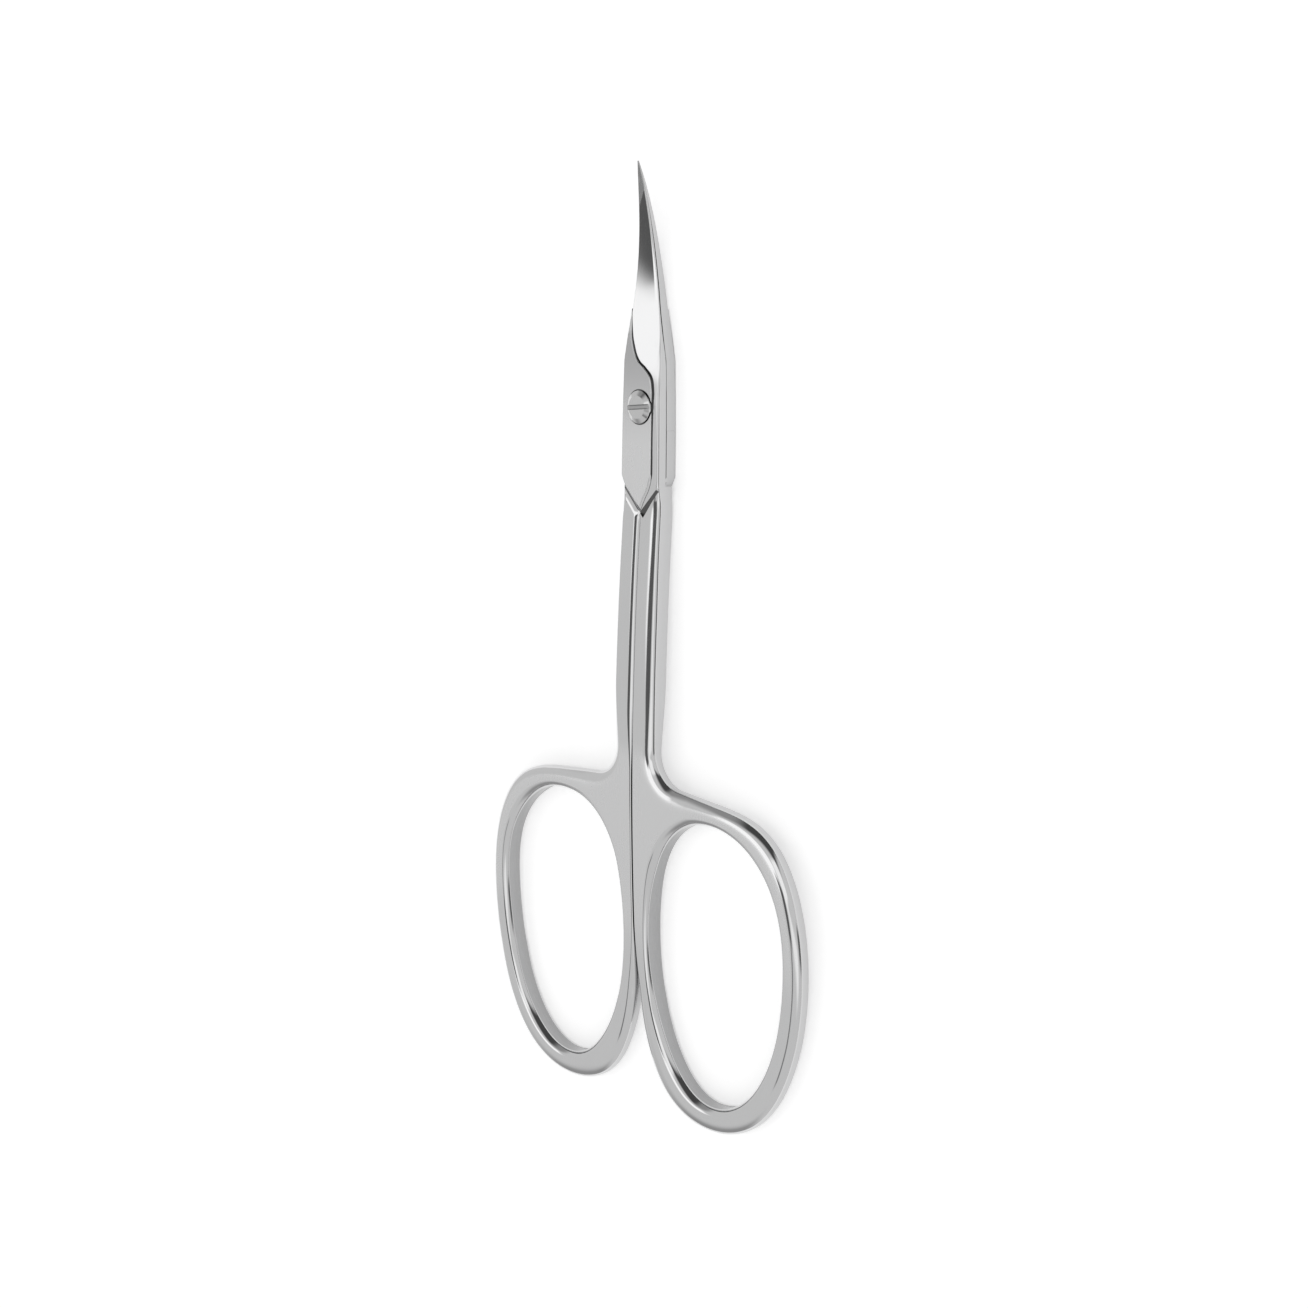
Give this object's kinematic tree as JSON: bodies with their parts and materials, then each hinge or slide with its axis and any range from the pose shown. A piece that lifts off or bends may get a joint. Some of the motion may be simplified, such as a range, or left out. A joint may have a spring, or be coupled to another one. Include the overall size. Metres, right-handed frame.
{
  "type": "cuticle_scissors",
  "caption": "Slim polished-steel cuticle scissors with curved tapering blades, oval finger rings and a slotted pivot screw.",
  "frame": {"origin": "under the middle of the whole length, on the plane of the back leaf, halfway between the finger rings", "axes": "+Y along the scissors to the blade tips, +X to the right seen from the front, +Z out of the front face"},
  "size_m": [0.051, 0.1052, 0.0036],
  "materials": {
    "forged_steel": "polished rings and shanks, satin joint and web",
    "screw_steel": "turned and polished, slotted head"
  },
  "bodies": {
    "back": {"back_half": "forged_steel", "pivot_screw": "screw_steel"},
    "front": {"front_half": "forged_steel"}
  },
  "joints": [
    {"name": "pivot", "type": "hinge", "parent": "back", "child": "front", "pos_m": [0, 0.0266, 0], "axis": [0, 0, 1], "range_deg": [0, 60]}
  ]
}
